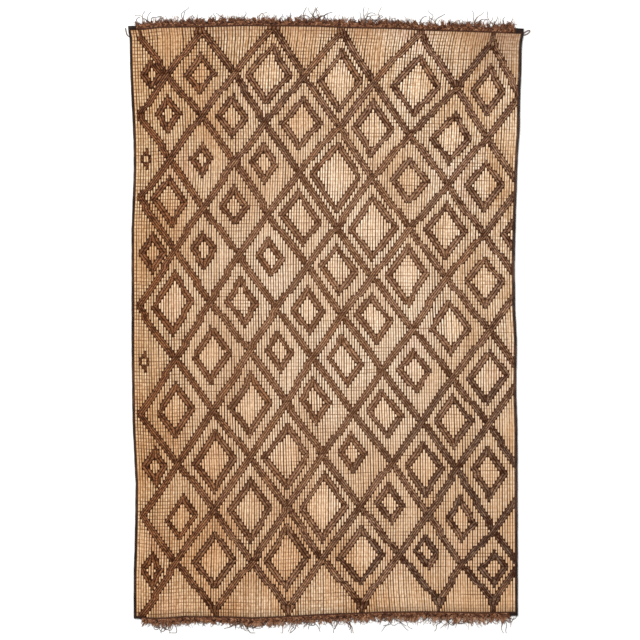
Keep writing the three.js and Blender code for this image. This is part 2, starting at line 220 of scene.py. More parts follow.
class Look:
    """The shader nodes of one material, and the colour laid up in them."""

    def __init__(self, name):
        self.material = bpy.data.materials.new(name)
        self.material.use_nodes = True
        self.nodes = self.material.node_tree.nodes
        self.links = self.material.node_tree.links
        self.colour = WHITE

    def set(self, socket, value):
        """Links a socket to another, or gives it a value."""
        if isinstance(value, bpy.types.NodeSocket):
            self.links.new(value, socket)
        else:
            socket.default_value = value

    def add(self, kind, inputs, output=0, **settings):
        """A new node's output."""
        node = self.nodes.new(kind)
        for name, value in settings.items():
            setattr(node, name, value)
        for key, value in inputs.items():
            self.set(node.inputs[key], value)
        return node.outputs[output]

    def math(self, operation, a, b, clamp=False):
        return self.add("ShaderNodeMath", {0: a, 1: b}, operation=operation, use_clamp=clamp)

    def times(self, a, b):
        return self.math("MULTIPLY", a, b)

    def plus(self, a, b, clamp=False):
        return self.math("ADD", a, b, clamp)

    def between(self, value, low, high):
        """0 at low, 1 at high, smooth between."""
        inputs = {"Value": value, "From Min": low, "From Max": high}
        return self.add("ShaderNodeMapRange", inputs, interpolation_type="SMOOTHSTEP")

    def mix(self, factor, a, b, blend="MIX"):
        """Colour b over a, by the numbers of the colour sockets."""
        inputs = {0: factor, 6: a, 7: b}
        return self.add("ShaderNodeMix", inputs, output=2, data_type="RGBA", blend_type=blend)

    def dye(self, tint, share=1.0):
        """Multiplies the colour with a tint."""
        self.colour = self.mix(share, self.colour, tint, "MULTIPLY")

    def cover(self, colour, mask, share=None):
        """Lays a colour over it, by a mask or a share of the mask."""
        factor = mask if share is None else self.times(mask, share)
        self.colour = self.mix(factor, self.colour, colour)

    def ramp(self, value, stops):
        """Colours along a value, each stop as its place and colour."""
        node = self.nodes.new("ShaderNodeValToRGB")
        while len(node.color_ramp.elements) < len(stops):
            node.color_ramp.elements.new(0.5)
        for element, (at, colour) in zip(node.color_ramp.elements, stops):
            element.position = at
            element.color = colour
        self.set(node.inputs[0], value)
        return node.outputs[0]

    def attribute(self, name):
        return self.add("ShaderNodeAttribute", {}, output=2, attribute_name=name)

    def own_place(self):
        """The place on the mat, in metres from its middle."""
        return self.nodes.new("ShaderNodeTexCoord").outputs["Object"]

    def mapped(self, **mapping):
        return self.add("ShaderNodeMapping", {"Vector": self.own_place(), **mapping})

    def noise(self, scale, detail, shift=0):
        """Noise on the mat, in features a metre along each axis."""
        vector = self.mapped(Location=(shift,) * 3, Scale=scale)
        return self.add("ShaderNodeTexNoise", {"Vector": vector, "Scale": 1.0, "Detail": detail})

    def spot(self, mapping, low, high):
        """1 around one place on the mat, 0 away from it."""
        inputs = {"Vector": self.mapped(**mapping)}
        fall = self.add("ShaderNodeTexGradient", inputs, output=1, gradient_type="SPHERICAL")
        return self.between(fall, low, high)

    def across(self, low, high):
        """0 at one place across the mat, in metres right of its middle, 1 at another."""
        return self.between(self.add("ShaderNodeSeparateXYZ", {"Vector": self.own_place()}), low, high)

    def warmth(self):
        """A tint that is warmer and darker towards the left side."""
        stops = [(0.0, srgb(224, 202, 178)), (0.35, srgb(243, 232, 220)), (1.0, WHITE)]
        return self.ramp(self.across(-0.75, 0.35), stops)

    def finish(self, roughness, height, distance):
        """Wires the colour, roughness and height into the shader."""
        shader = self.nodes["Principled BSDF"].inputs
        bump = {"Height": height, "Distance": distance, "Strength": BUMP_STRENGTH}
        self.set(shader["Base Color"], self.colour)
        self.set(shader["Roughness"], roughness)
        self.set(shader["Normal"], self.add("ShaderNodeBump", bump))
        self.set(shader["Specular IOR Level"], SPECULAR)
        return self.material

    def finish_leather(self):
        """As finish, with the fine grain of leather."""
        grain = self.noise((1100, 1100, 1100), detail=3)
        return self.finish(self.between(grain, 1.3, -0.5), grain, distance=0.0004)


def lay_straw(look, fibres):
    """Plain straw in patches and tones, with fibres, cells and stains, and a painted pool of light in the
    middle.
    """
    look.colour = look.ramp(look.noise((5, 3.5, 1), detail=4), [
        (0.3, srgb(226, 188, 146)),
        (0.44, srgb(246, 218, 186)),
        (0.58, srgb(255, 240, 218)),
        (0.72, srgb(252, 224, 206)),
    ])
    tones = [(0.0, srgb(226, 212, 196)), (0.35, srgb(246, 240, 232)), (1.0, WHITE)]
    look.dye(look.ramp(look.attribute("tone"), tones))
    streaks = [(0.3, srgb(205, 180, 152)), (0.6, WHITE)]
    look.dye(look.ramp(fibres, streaks), share=0.45)
    cells = [(0.32, srgb(206, 188, 168)), (0.6, WHITE)]
    look.dye(look.ramp(look.noise((130, 90, 1), detail=1, shift=9), cells))
    stains = look.between(look.noise((11, 8, 1), detail=5, shift=7), 0.56, 0.74)
    look.cover(srgb(188, 142, 94), stains, share=0.32)
    look.dye(look.warmth())
    look.cover(srgb(210, 172, 132), look.spot(*LOW_RIGHT), share=0.5)
    # painted light: a pool of light over the middle of the mat
    look.cover(srgb(250, 230, 206), look.spot(*LIGHT_POOL), share=0.3)


def thong_line(look, upper, lower, left):
    """How plainly the thong between two rows shows on a reed."""
    from_line = look.math("PINGPONG", look.attribute("row"), 0.5)
    line = look.math("SUBTRACT", 1.0, look.between(from_line, 0.02, 0.2))
    strength = look.between(look.noise((5, 95, 1), detail=2, shift=3), 0.46, 0.66)
    tight = look.between(look.noise((9, 7, 1), detail=3, shift=11), 0.4, 0.62)
    strength = look.times(strength, look.plus(look.times(tight, 0.35), 0.35))
    strength = look.plus(strength, look.plus(look.times(tight, 0.26), 0.12))
    bound = look.plus(look.times(upper, 0.3), look.times(left, 0.44))
    bound = look.times(bound, look.plus(look.times(tight, 0.75), 0.35))
    strength = look.plus(strength, look.times(lower, 0.04))
    return look.times(line, look.plus(strength, bound, clamp=True))


def lay_shaded_sides(look, margin):
    """Painted shade on the sides of a reed and in the grooves between reeds, darkest where reeds gape, at
    margins and near thong.
    """
    gap_shade = look.times(look.between(look.noise((110, 58, 1), detail=2, shift=5), 0.36, 0.64), 0.95)
    gap_shade = look.plus(gap_shade, look.times(margin, 0.34))
    gap_shade = look.plus(gap_shade, look.times(look.attribute("near"), 0.55), clamp=True)
    # painted shade: reed flanks and the grooves between reeds darkened in the colour itself
    flank_shade = look.mix(gap_shade, srgb(220, 184, 144), srgb(176, 132, 94))
    flank_shade = look.mix(look.times(margin, 0.5), flank_shade, srgb(158, 114, 78))
    groove_shade = look.mix(gap_shade, srgb(138, 98, 64), srgb(88, 52, 28))
    groove_shade = look.mix(look.times(margin, 0.7), groove_shade, srgb(54, 30, 16))
    side = look.attribute("side")
    look.cover(flank_shade, look.between(side, 0.0, 0.6))
    look.cover(groove_shade, look.between(side, 0.5, 1.0))


def reed_material():
    """Straw with thong lines, painted shade on its sides and where it dips, painted light inside the
    diamonds, tinted by its place on the mat.
    """
    look = Look("reed_straw")
    fibres = look.noise((750, 9, 1), detail=3)
    row = look.attribute("row")
    upper, lower = look.between(row, 16, 2), look.between(row, 90, 160)
    left = look.across(-0.32, -0.58)
    line = thong_line(look, upper, lower, left)
    lay_straw(look, fibres)
    look.dye((1.12, 1.18, 1.2, 1.0), share=left)
    look.dye((1.03, 0.97, 0.92, 1.0), share=lower)
    look.cover(srgb(122, 76, 44), line)
    lay_shaded_sides(look, margin=look.math("MAXIMUM", left, look.math("MAXIMUM", lower, upper)))
    rim = look.between(row, 4, 0)
    look.cover(srgb(134, 94, 68), rim, share=0.36)
    corner = look.times(look.across(0.36, 0.56), look.between(row, 20, 2))
    look.cover(srgb(116, 80, 60), corner, share=0.45)
    # painted light: reeds inside the diamonds lighter, out of the shade of the floats around them
    look.dye((1.08, 1.08, 1.08, 1.0), share=look.attribute("inside"))
    # painted shade: a reed dark where it dips under the thong, by the end attribute that carries the dip
    look.cover(srgb(98, 62, 36), look.between(look.attribute("end"), 0.2, 0.8))
    height = look.math("SUBTRACT", look.times(fibres, 0.5), line)
    return look.finish(look.between(fibres, 1.4, -0.2), height, distance=0.0006)


def float_material():
    """Mottled thong, each limb of a band in its own brown, with painted shade at its edges and a painted
    pool of light in the middle.
    """
    look = Look("thong_leather_floats")
    clouds = look.between(look.noise((13, 13, 1), detail=4), 0.3, 0.7)
    hue = look.plus(look.times(look.attribute("hue"), 0.62), look.times(clouds, 0.42))
    hue = look.math("SUBTRACT", hue, look.times(look.spot(*LOW_RIGHT), 0.52), clamp=True)
    look.colour = look.ramp(hue, [
        (0.0, srgb(76, 53, 40)),
        (0.2, srgb(121, 85, 59)),
        (0.4, srgb(155, 112, 80)),
        (0.56, srgb(161, 119, 95)),
        (0.72, srgb(170, 128, 92)),
        (0.88, srgb(172, 120, 82)),
    ])
    middle = look.spot(*LIGHT_POOL)
    look.cover(srgb(194, 158, 130), look.attribute("tone"), share=0.85)
    # painted light: the middle of the mat lighter
    look.cover(srgb(184, 144, 112), middle, share=0.34)
    look.cover(srgb(172, 116, 76), look.across(-0.2, -0.6), share=0.45)
    mottle = [(0.36, srgb(150, 130, 114)), (0.58, WHITE)]
    look.dye(look.ramp(look.noise((240, 240, 1), detail=2, shift=8), mottle))
    look.dye(look.warmth())
    # painted shade in pits and between strands, lighter in the painted pool of light
    pit_shade = look.mix(middle, srgb(62, 30, 12), srgb(94, 58, 34))
    look.cover(pit_shade, look.between(look.attribute("shade"), 1.0, 0.0))
    grain = look.noise((900, 900, 900), detail=2)
    return look.finish(look.between(grain, 1.2, -0.6), grain, distance=0.0004)


def row_material():
    """Dark leather of the thong rows, darker than the floats as painted shade between the reeds, worn in
    patches, each row in its own tone.
    """
    look = Look("thong_leather_rows")
    clouds = look.noise((30, 30, 30), detail=4)
    # painted shade: darker than the thong of the floats, for the gaps between reeds
    look.colour = look.ramp(clouds, [(0.35, srgb(62, 40, 26)), (0.65, srgb(86, 56, 38))])
    patches = look.between(look.noise((75, 18, 1), detail=4, shift=2), 0.55, 0.75)
    look.cover(srgb(104, 72, 48), patches, share=0.6)
    look.dye(look.ramp(look.attribute("tone"), [(0.0, srgb(120, 108, 102)), (1.0, WHITE)]))
    return look.finish_leather()


def binding_material():
    """Near-black leather, browner along the sides, brown along its inner edge, with grey-brown thongs."""
    look = Look("binding_leather_dark")
    clouds = look.noise((26, 26, 26), detail=4)
    look.colour = look.ramp(clouds, [(0.35, srgb(24, 16, 12)), (0.65, srgb(40, 28, 22))])
    brown = look.ramp(clouds, [(0.35, srgb(46, 34, 28)), (0.65, srgb(84, 60, 48))])
    look.cover(brown, look.attribute("tone"))
    wear = look.attribute("wear")
    look.cover(srgb(116, 72, 50), look.between(wear, 0, 1), share=0.7)
    look.cover(srgb(112, 92, 84), look.between(wear, 1, 2))
    return look.finish_leather()


def fringe_material():
    """Thong ends: dark, reddish and dusty ones side by side, and grey-brown strays."""
    look = Look("thong_leather_ends")
    look.colour = look.ramp(look.attribute("tone"), [
        (0.0, srgb(46, 28, 20)),
        (0.3, srgb(106, 68, 48)),
        (0.6, srgb(158, 110, 78)),
        (0.8, srgb(196, 158, 130)),
        (1.0, srgb(104, 90, 84)),
    ])
    mottle = [(0.35, srgb(190, 175, 168)), (0.65, WHITE)]
    look.dye(look.ramp(look.noise((60, 60, 60), detail=3), mottle))
    return look.finish_leather()


def floor_material():
    """White paper with a faint grain."""
    look = Look("floor_paper")
    grain = look.noise((300, 300, 300), detail=2)
    look.colour = look.ramp(grain, [(0.3, srgb(247, 247, 246)), (0.7, srgb(250, 250, 249))])
    return look.finish(0.9, grain, distance=0.0001)


def tube_faces(rings, sides):
    """Quads and cap triangles of one tube."""
    ring = np.arange(rings - 1)[:, None] * sides
    side = np.arange(sides)
    after = (side + 1) % sides
    quads = np.stack([ring + side, ring + after, ring + sides + after, ring + sides + side], -1)
    fan = np.stack([np.zeros(sides - 2, int), np.arange(2, sides), np.arange(1, sides - 1)], -1)
    return quads.reshape(-1, 4), np.concatenate([fan, fan[:, [0, 2, 1]] + (rings - 1) * sides])


class Body:
    """Closed tubes gathered into one mesh, in millimetres, with values for each point."""

    def __init__(self):
        self.points, self.quads, self.caps, self.values = [], [], [], {}
        self.size = 0

    def tube(self, points, **values):
        """Adds a tube from points by ring and side, with values spread over them."""
        rings, sides, _ = points.shape
        quads, caps = tube_faces(rings, sides)
        self.quads.append(quads + self.size)
        self.caps.append(caps + self.size)
        self.points.append(points.reshape(-1, 3))
        for name, value in values.items():
            self.values.setdefault(name, []).append(np.broadcast_to(value, (rings, sides)).ravel())
        self.size += rings * sides

    def piece(self, name, material, node):
        """The finished object, which stands for a CAD node."""
        points = np.concatenate(self.points) * MM
        quads, caps = np.concatenate(self.quads), np.concatenate(self.caps)
        triangles = np.concatenate([quads[:, :3], quads[:, [0, 2, 3]], caps])
        a, b, c = (points[triangles[:, k]] for k in range(3))
        if np.einsum("ij,ij->i", a, np.cross(b, c)).sum() < 0:
            quads, caps = quads[:, ::-1], caps[:, ::-1]
        mesh = bpy.data.meshes.new(name)
        mesh.from_pydata(points.tolist(), [], quads.tolist() + caps.tolist())
        mesh.shade_smooth()
        for key, parts in self.values.items():
            layer = mesh.attributes.new(key, "FLOAT", "POINT")
            layer.data.foreach_set("value", np.concatenate(parts).astype(np.float32))
        mesh.materials.append(material)
        made = bpy.data.objects.new(name, mesh)
        bpy.context.scene.collection.objects.link(made)
        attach(made, "root")
        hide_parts(node)
        return made


# A little over a half, so that bands step evenly
ROUNDING = 0.51


def nearest(place_in_weave):
    """The nearest whole count."""
    return int(np.floor(place_in_weave + ROUNDING))


def lean_between(start, end):
    """How many reeds to the right a limb moves from row to row."""
    return (end[0] - start[0]) / (end[1] - start[1])


class Chart:
    """Which limb of a band covers each row and reed, and each limb's kind and lean."""

    def __init__(self):
        self.owner = np.full((ROW_COUNT, REED_COUNT), -1)
        self.inside = np.zeros((ROW_COUNT, REED_COUNT))
        self.limbs = []

    def limb(self, kind, lean):
        """The number of a new limb."""
        self.limbs.append((kind, lean))
        return len(self.limbs) - 1

    def cover(self, limb, row, first, end):
        """Gives a limb the reeds of a row from first up to end."""
        if 0 <= row < ROW_COUNT:
            self.owner[row, max(first, 0):max(end, 0)] = limb

    def cover_around(self, limb, row, centre, width):
        self.cover(limb, row, nearest(centre - width / 2), nearest(centre + width / 2))

    def band(self, start, end, width, kind):
        """A band between two places in the weave, so many reeds wide."""
        lean = lean_between(start, end)
        limb = self.limb(kind, lean)
        for row in range(ROW_COUNT):
            middle = row + 0.5
            if start[1] <= middle < end[1]:
                centre = start[0] + lean * (middle - start[1])
                centre -= leaning(centre, middle)
                self.cover_around(limb, row, centre, width)

    def ring(self, top, left, bottom, right, width, kind):
        """A diamond between its outer corners, of four limbs."""
        upper = [self.limb(kind, lean_between(top, side)) for side in (left, right)]
        lower = [self.limb(kind, lean_between(side, bottom)) for side in (left, right)]
        for row in range(ROW_COUNT):
            middle = row + 0.5
            if not top[1] <= middle < bottom[1]:
                continue
            low = np.interp(middle, [top[1], left[1], bottom[1]], [top[0], left[0], bottom[0]])
            high = np.interp(middle, [top[1], right[1], bottom[1]], [top[0], right[0], bottom[0]])
            low, high = low - leaning(low, middle), high - leaning(high, middle)
            inner = nearest(low + width), nearest(high - width)
            if inner[1] - inner[0] < 1:
                inner = (nearest((low + high) / 2),) * 2
            # reeds inside a ring, which the reed material lightens as painted light
            self.inside[row, max(inner[0], 0):max(inner[1], 0)] = 1
            self.cover((upper if middle < left[1] else lower)[0], row, nearest(low), inner[0])
            self.cover((upper if middle < right[1] else lower)[1], row, inner[1], nearest(high))

    def runs(self, limb):
        """Unbroken stretches of a limb that show, as rows and the first and end reeds in them."""
        rows, reeds = np.nonzero(self.owner == limb)
        shown = np.unique(rows)
        first = np.array([reeds[rows == row].min() for row in shown])
        end = np.array([reeds[rows == row].max() + 1 for row in shown])
        breaks = np.flatnonzero(np.diff(shown) > 1) + 1
        parts = zip(np.split(shown, breaks), np.split(first, breaks), np.split(end, breaks))
        return [part for part in parts if len(part[0])]


def crossing(level, index):
    """Where a crossing of the chart lies in the weave."""
    column, row = (counts[index] for counts in LEVELS[level])
    return (column + CHART_DRIFT[0]) * REEDS_A_COLUMN, row + CHART_DRIFT[1]


def chart_lattice(chart):
    """Bands from each crossing to the two below. Those that fall left lie over the others."""
    for falls_left in (False, True):
        for level in range(len(LEVELS) - 1):
            steps = (-1, 0) if level % 2 == 0 else (0, 1)
            for index in range(len(LEVELS[level][0])):
                target = index + (steps[0] if falls_left else steps[1])
                if 0 <= target < len(LEVELS[level + 1][0]):
                    chart.band(crossing(level, index), crossing(level + 1, target), LATTICE_REEDS, LATTICE)


def chart_stems(chart):
    """Wedges that narrow to short stems from the crossings at the two ends."""
    for level, toward, flare in WEDGES:
        for index in range(len(LEVELS[level][0])):
            reed, start = crossing(level, index)
            limb = chart.limb(LATTICE, 0.0)
            for row in range(ROW_COUNT):
                past = toward * (row + 0.5 - start)
                if past > -WEDGE_OVERLAP:
                    width = max(LATTICE_REEDS + flare - WEDGE_SLOPE * past, STEM_REEDS)
                    chart.cover_around(limb, row, reed - leaning(reed, row), width)


def chart_diamonds(chart):
    """The small diamond in each whole cell, on the cell's own axes."""
    for line, (halves, leads) in enumerate(DIAMONDS):
        level, shift = line + 1, (line + 1) % 2
        for index, (half, lead) in enumerate(zip(halves, leads)):
            cell = np.array([
                crossing(level - 1, index + shift),
                crossing(level, index),
                crossing(level + 1, index + shift),
                crossing(level, index + 1),
            ])
            middle = np.array([(cell[1, 0] + cell[3, 0]) / 2, (cell[0, 1] + cell[2, 1]) / 2])
            share = 2 * half * REEDS_A_COLUMN / (cell[3, 0] - cell[1, 0])
            corners = middle - lead * np.array([REEDS_A_COLUMN, 1]) + share * (cell - middle)
            corners[:2] += DIAMOND_SQUEEZE
            corners[2:] -= DIAMOND_SQUEEZE
            chart.ring(*corners, DIAMOND_REEDS, DIAMOND)


def chart_sides(chart):
    """The figures in the half cells along the two sides."""
    for column, row, half_columns, half_rows, kind in SIDE_FIGURES:
        reed, half_reeds = column * REEDS_A_COLUMN, half_columns * REEDS_A_COLUMN
        top, bottom = (reed, row - half_rows), (reed, row + half_rows)
        left, right = (reed - half_reeds, row), (reed + half_reeds, row)
        chart.ring(top, left, bottom, right, SIDE_REEDS[kind], DIAMOND)


def make_chart():
    """The whole chart. What comes later lies over what comes before."""
    chart = Chart()
    chart_diamonds(chart)
    chart_sides(chart)
    chart_lattice(chart)
    chart_stems(chart)
    return chart


# How a reed comes up beside the thong: rows from it, how far it still dips
REED_RISE = [(0.0, 1.0), (0.18, 0.5), (0.4, 0.0)]
ROWS_A_RING = 2.5
HIDDEN_HEAD, HIDDEN_FOOT = -1, -2

# How reeds differ: wobble in pitches, its rows to a radian and start, width, height in millimetres
WOBBLE = 0.06
WOBBLE_ROWS = (6, 18)
WOBBLE_STARTS = (0, 6.3)
REED_WIDTHS = (0.92, 1.04)
REED_LIFTS = (-0.35, 0.0)

# How much narrower a reed is under and near the thong, and how many rows and how far it is near
PINCH = {"under": 0.12, "near": 0.16}
NEAR_ROWS = 4
NEAREST = 0.8

# A reed's tone is partly its own and partly that of each length that shows
REED_TONE = {"own": 0.55, "length": 0.45}

# A reed's section: place across in reed widths, share of its height, how far it is down the side
REED_SECTION = np.array([
    (-0.5, 0.66, 1), (-0.36, 0, 1), (0.36, 0, 1), (0.5, 0.66, 1), (0.28, 1, 0), (-0.28, 1, 0),
])


def reed_stations(covered):
    """Places along one reed as (row, dip, run). It dips where the thong covers it."""
    stations = []
    edges = np.flatnonzero(np.diff(np.concatenate([[1], covered.astype(int), [1]])))
    for run, (start, end) in enumerate(zip(edges[::2], edges[1::2])):
        head, foot = [(start, 0.0)], [(end, 0.0)]
        if start > 0:
            head = [(start + past, dip) for past, dip in REED_RISE]
        if end < ROW_COUNT:
            foot = [(end - past, dip) for past, dip in reversed(REED_RISE)]
        steps = max(int((end - start) / ROWS_A_RING), 1)
        middle = [(start + (end - start) * k / steps, 0.0) for k in range(1, steps)]
        stations += [(row, dip, run) for row, dip in head + middle + foot]
    if stations[0][0] > 0:
        stations.insert(0, (0, 1.0, HIDDEN_HEAD))
    if stations[-1][0] < ROW_COUNT:
        stations.append((ROW_COUNT, 1.0, HIDDEN_FOOT))
    return np.array(stations)


def nearness(rows, covered, index):
    """How close places along a reed are to thong on it or beside it."""
    beside = covered[:, max(index - 1, 0):index + 2].any(axis=1)
    thong = np.flatnonzero(beside)
    if not len(thong):
        return np.zeros(len(rows))
    from_thong = np.maximum(thong - rows[:, None], rows[:, None] - thong - 1).min(axis=1)
    return np.clip(1.0 - from_thong / NEAR_ROWS, 0, NEAREST)


def add_reed(body, index, chart):
    """One reed from end to end."""
    covered = chart.owner >= 0
    row, dip, run = reed_stations(covered[:, index]).T
    near = nearness(row, covered, index)
    inside = chart.inside[np.minimum(row.astype(int), ROW_COUNT - 1), index]
    x, y = woven(index + 0.5, row)
    pitch = place(index + 1, row)[0] - place(index, row)[0]
    x = x + WOBBLE * pitch * np.sin(row / drawn(WOBBLE_ROWS) + drawn(WOBBLE_STARTS))
    width = pitch * drawn(REED_WIDTHS)
    width = width * (1 - PINCH["under"] * dip) * (1 - PINCH["near"] * near)
    top = REED["top"] + drawn(REED_LIFTS) + (REED["dipped"] - REED["top"]) * dip
    tones = RANDOM.uniform(0, 1, int(run.max()) + 1 - HIDDEN_FOOT)
    tone = REED_TONE["own"] * RANDOM.uniform(0, 1) + REED_TONE["length"] * tones[run.astype(int)]
    across, share, side = REED_SECTION.T
    points = np.empty((len(row), len(across), 3))
    points[:, :, 0] = x[:, None] + width[:, None] * across
    points[:, :, 1] = y[:, None]
    points[:, :, 2] = REED["bottom"] + (top - REED["bottom"])[:, None] * share
    # end carries the dip, which the reed material lays as painted shade
    along = {"tone": tone, "end": dip, "row": row, "near": near, "inside": inside}
    body.tube(points, side=side, **{key: value[:, None] for key, value in along.items()})


def make_reeds(chart, material):
    """The reeds in two halves, left and right."""
    half = REED_COUNT // 2
    made = []
    for name, first in (("reeds_left", 0), ("reeds_right", half)):
        body = Body()
        for index in range(first, first + half):
            add_reed(body, index, chart)
        made.append(body.piece(name, material, "mat_field"))
    return made


# Rings along each thong row, and where in its row it starts and ends, nearly edge to edge so that the rows
# make a dark sheet of painted shade under the reeds
ROW_STRIP_RINGS = 25
ROW_STRIP_SPAN = (0.01, 0.99)


def make_row_strips(material):
    """The thong rows under the reeds, seen in the gaps between them, widened into a dark sheet that stands
    in for the shade there.
    """
    body = Body()
    reeds = np.linspace(0, REED_COUNT, ROW_STRIP_RINGS)
    for row in range(ROW_COUNT):
        (x0, y0), (x1, y1) = (woven(reeds, row + past) for past in ROW_STRIP_SPAN)
        low, high = np.full_like(x0, ROW_STRIP["bottom"]), np.full_like(x0, ROW_STRIP["top"])
        ring = [(x0, y0, low), (x1, y1, low), (x1, y1, high), (x0, y0, high)]
        body.tube(np.stack([np.stack(corner, -1) for corner in ring], 1), tone=RANDOM.uniform(0, 1))
    return body.piece("thong_rows", material, "mat_field")


# A strand of thong from side to side: place, height in millimetres, shade
STRAND_PLACES = np.array([0, 0.24, 0.5, 0.76, 1])
STRAND_HEIGHTS = np.array([5.5, 6.05, 6.2, 6.05, 5.5])
STRAND_SHADES = np.array([0.3, 0.85, 1, 0.85, 0.3])

# Strands in a band, and the most reeds that they lean from row to row past its ends
STRANDS = {LATTICE: 3, DIAMOND: 2}
STEEPEST = 1.4

# How dark limbs are where they meet, over how many rows, how dark specks are, and their share
MEETING_SHADE = {LATTICE: 0.5, DIAMOND: 0.3}
MEETING_ROWS = 2.4
SPECK_SHADE = {"falls_right": 0.8, "falls_left": 0.6}
SPECK_SHARE = 0.6

# A band's bare edge: reeds that it reaches out, and how dark the shoulder by it is, on either slope
OUTER_REACH = 0.16
SHOULDER_SHADE = 0.4
SHADY_SHOULDER = 0.6

# Rings along a strand between changes of its tone, and how rare pale tones are
TONE_RINGS = 6
PALE_POWER = 1.5


def turn_down(strand, outer, shoulder, outwards, bare, darkening):
    """Takes a band's edge down beside the reeds, into the shade, where it is bare."""
    reed, z, shade = strand
    reed[:, outer] += outwards * OUTER_REACH * bare
    z[:, outer] += (FLOAT["edge"] - z[:, outer]) * bare
    shade[:, outer] *= 1 - bare
    shade[:, shoulder] *= 1 - darkening * bare


def add_run(body, chart, rows, first, end, kind, lean, hue):
    """The strands of one stretch of band, side by side, with two rings a row."""
    covered = np.pad(chart.owner >= 0, ((0, 0), (1, 1)), constant_values=True)
    station = rows[0] + 0.5 * np.arange(2 * len(rows) + 1)
    middle = rows + 0.5
    past = lean * (station - np.clip(station, middle[0], middle[-1]))
    left = np.interp(station, middle, first) + past
    right = np.interp(station, middle, end) + past
    bare_left = np.interp(station, middle, ~covered[rows, first])
    bare_right = np.interp(station, middle, ~covered[rows, end + 1])
    from_ends = np.stack([station - station[0], station[-1] - station]) / MEETING_ROWS
    meeting = RANDOM.uniform(0, MEETING_SHADE[kind], (2, 1)) * np.exp(-from_ends ** 2)
    count, size = STRANDS[kind], (len(station), 1)
    darkest_speck = SPECK_SHADE["falls_right" if lean > 0 else "falls_left"]
    for index in range(count):
        reed = left[:, None] + (right - left)[:, None] * (index + STRAND_PLACES) / count
        z = np.tile(STRAND_HEIGHTS, size)
        z[::2] -= FLOAT["notch"]
        shade = np.tile(STRAND_SHADES, size)
        shade -= RANDOM.uniform(0, darkest_speck, size) * (RANDOM.uniform(0, 1, size) < SPECK_SHARE)
        shade -= meeting.max(axis=0)[:, None]
        if index == 0:
            darkening = SHADY_SHOULDER if lean < 0 else SHOULDER_SHADE
            turn_down((reed, z, shade), 0, 1, -1, bare_left, darkening)
        if index == count - 1:
            turn_down((reed, z, shade), -1, -2, 1, bare_right, SHOULDER_SHADE)
        x, y = woven(reed, station[:, None])
        changes = station[::TONE_RINGS]
        lengths = np.interp(station, changes, RANDOM.uniform(0, 1, len(changes)))[:, None]
        tone = ((lengths + RANDOM.uniform(0, 1, size)) / 2) ** PALE_POWER
        body.tube(np.stack([x, y, z], -1), shade=np.clip(shade, 0, 1), tone=tone, hue=hue)


def make_floats(chart, kind, name, material):
    """The strands of all bands of one kind, each limb in its own hue."""
    body = Body()
    for limb, (limb_kind, lean) in enumerate(chart.limbs):
        if limb_kind == kind:
            hue = RANDOM.uniform(0, 1)
            for rows, first, end in chart.runs(limb):
                add_run(body, chart, rows, first, end, kind, np.clip(lean, -STEEPEST, STEEPEST), hue)
    return body.piece(name, material, "mat_field")


# Sections of a rounded strip and of a loose strand: place across the width, share of the height
STRIP_SECTION = np.array([
    (-0.5, 0.3), (-0.42, 0), (0.42, 0), (0.5, 0.3),
    (0.46, 0.72), (0.26, 0.96), (-0.26, 0.96), (-0.46, 0.72),
])
STRAND_SECTION = np.array([(-0.5, 0.3), (0, 0), (0.5, 0.3), (0, 1)])


def swept(section, path, across, height, lift=0.0):
    """Rings of a section along a path: across holds the full width as a vector at each place."""
    place_across, share = section.T
    points = np.empty((len(path), len(share), 3))
    points[:, :, :2] = path[:, None, :] + across[:, None, :] * place_across[None, :, None]
    points[:, :, 2] = np.reshape(lift, (-1, 1)) + np.reshape(height, (-1, 1)) * share
    return points


def ribbon(section, path, width, height, lift=0.0):
    """As swept, with the width square to the path."""
    along = np.gradient(path, axis=0)
    along /= np.linalg.norm(along, axis=1)[:, None] + TINY
    square = np.stack([-along[:, 1], along[:, 0]], -1)
    return swept(section, path, square * np.reshape(width, (-1, 1)), height, lift)


# The left thong's hook in millimetres: distance out from the binding, place along the side
HOOK = [(-5, 899), (1, 900.5), (8, 906), (11, 916), (13, 927)]
HOOK_RINGS = 24
JUST_SHORT = 1e-6

# The right thong's loop in millimetres, and its tilt and turns in radians
LOOP = {"out": 8.6, "along": 912.5, "half_length": 12.3, "half_width": 4.2, "tilt": 0.55}
LOOP_TURNS = (1.08 * np.pi, 2.92 * np.pi)
LOOP_RINGS = 40


def smooth_path(points, steps):
    """A smooth curve through a few points, in even parameter steps."""
    padded = np.array([points[0], *points, points[-1]])
    made = []
    for at in np.linspace(0, len(points) - 1 - JUST_SHORT, steps):
        k, t = int(at), at - int(at)
        a, b, c, d = padded[k:k + 4]
        square, cube = 2 * a - 5 * b + 4 * c - d, 3 * b - a - 3 * c + d
        made.append(0.5 * (2 * b + (c - a) * t + square * t**2 + cube * t**3))
    return np.array(made)


def hook_path():
    edge = edge_at(LEFT_EDGE, HOOK[0][1]) - BINDING_WIDTH
    return smooth_path([(edge - out, along) for out, along in HOOK], HOOK_RINGS)


def loop_path():
    """The right thong's loop, a tilted oval that is open towards the binding."""
    turn = np.linspace(*LOOP_TURNS, LOOP_RINGS)
    along, across = LOOP["half_length"] * np.cos(turn), LOOP["half_width"] * np.sin(turn)
    slope, rise = np.cos(LOOP["tilt"]), np.sin(LOOP["tilt"])
    middle = edge_at(RIGHT_EDGE, LOOP["along"]) + BINDING_WIDTH + LOOP["out"]
    x, y = middle + along * slope - across * rise, LOOP["along"] + along * rise + across * slope
    return np.stack([x, y], -1)


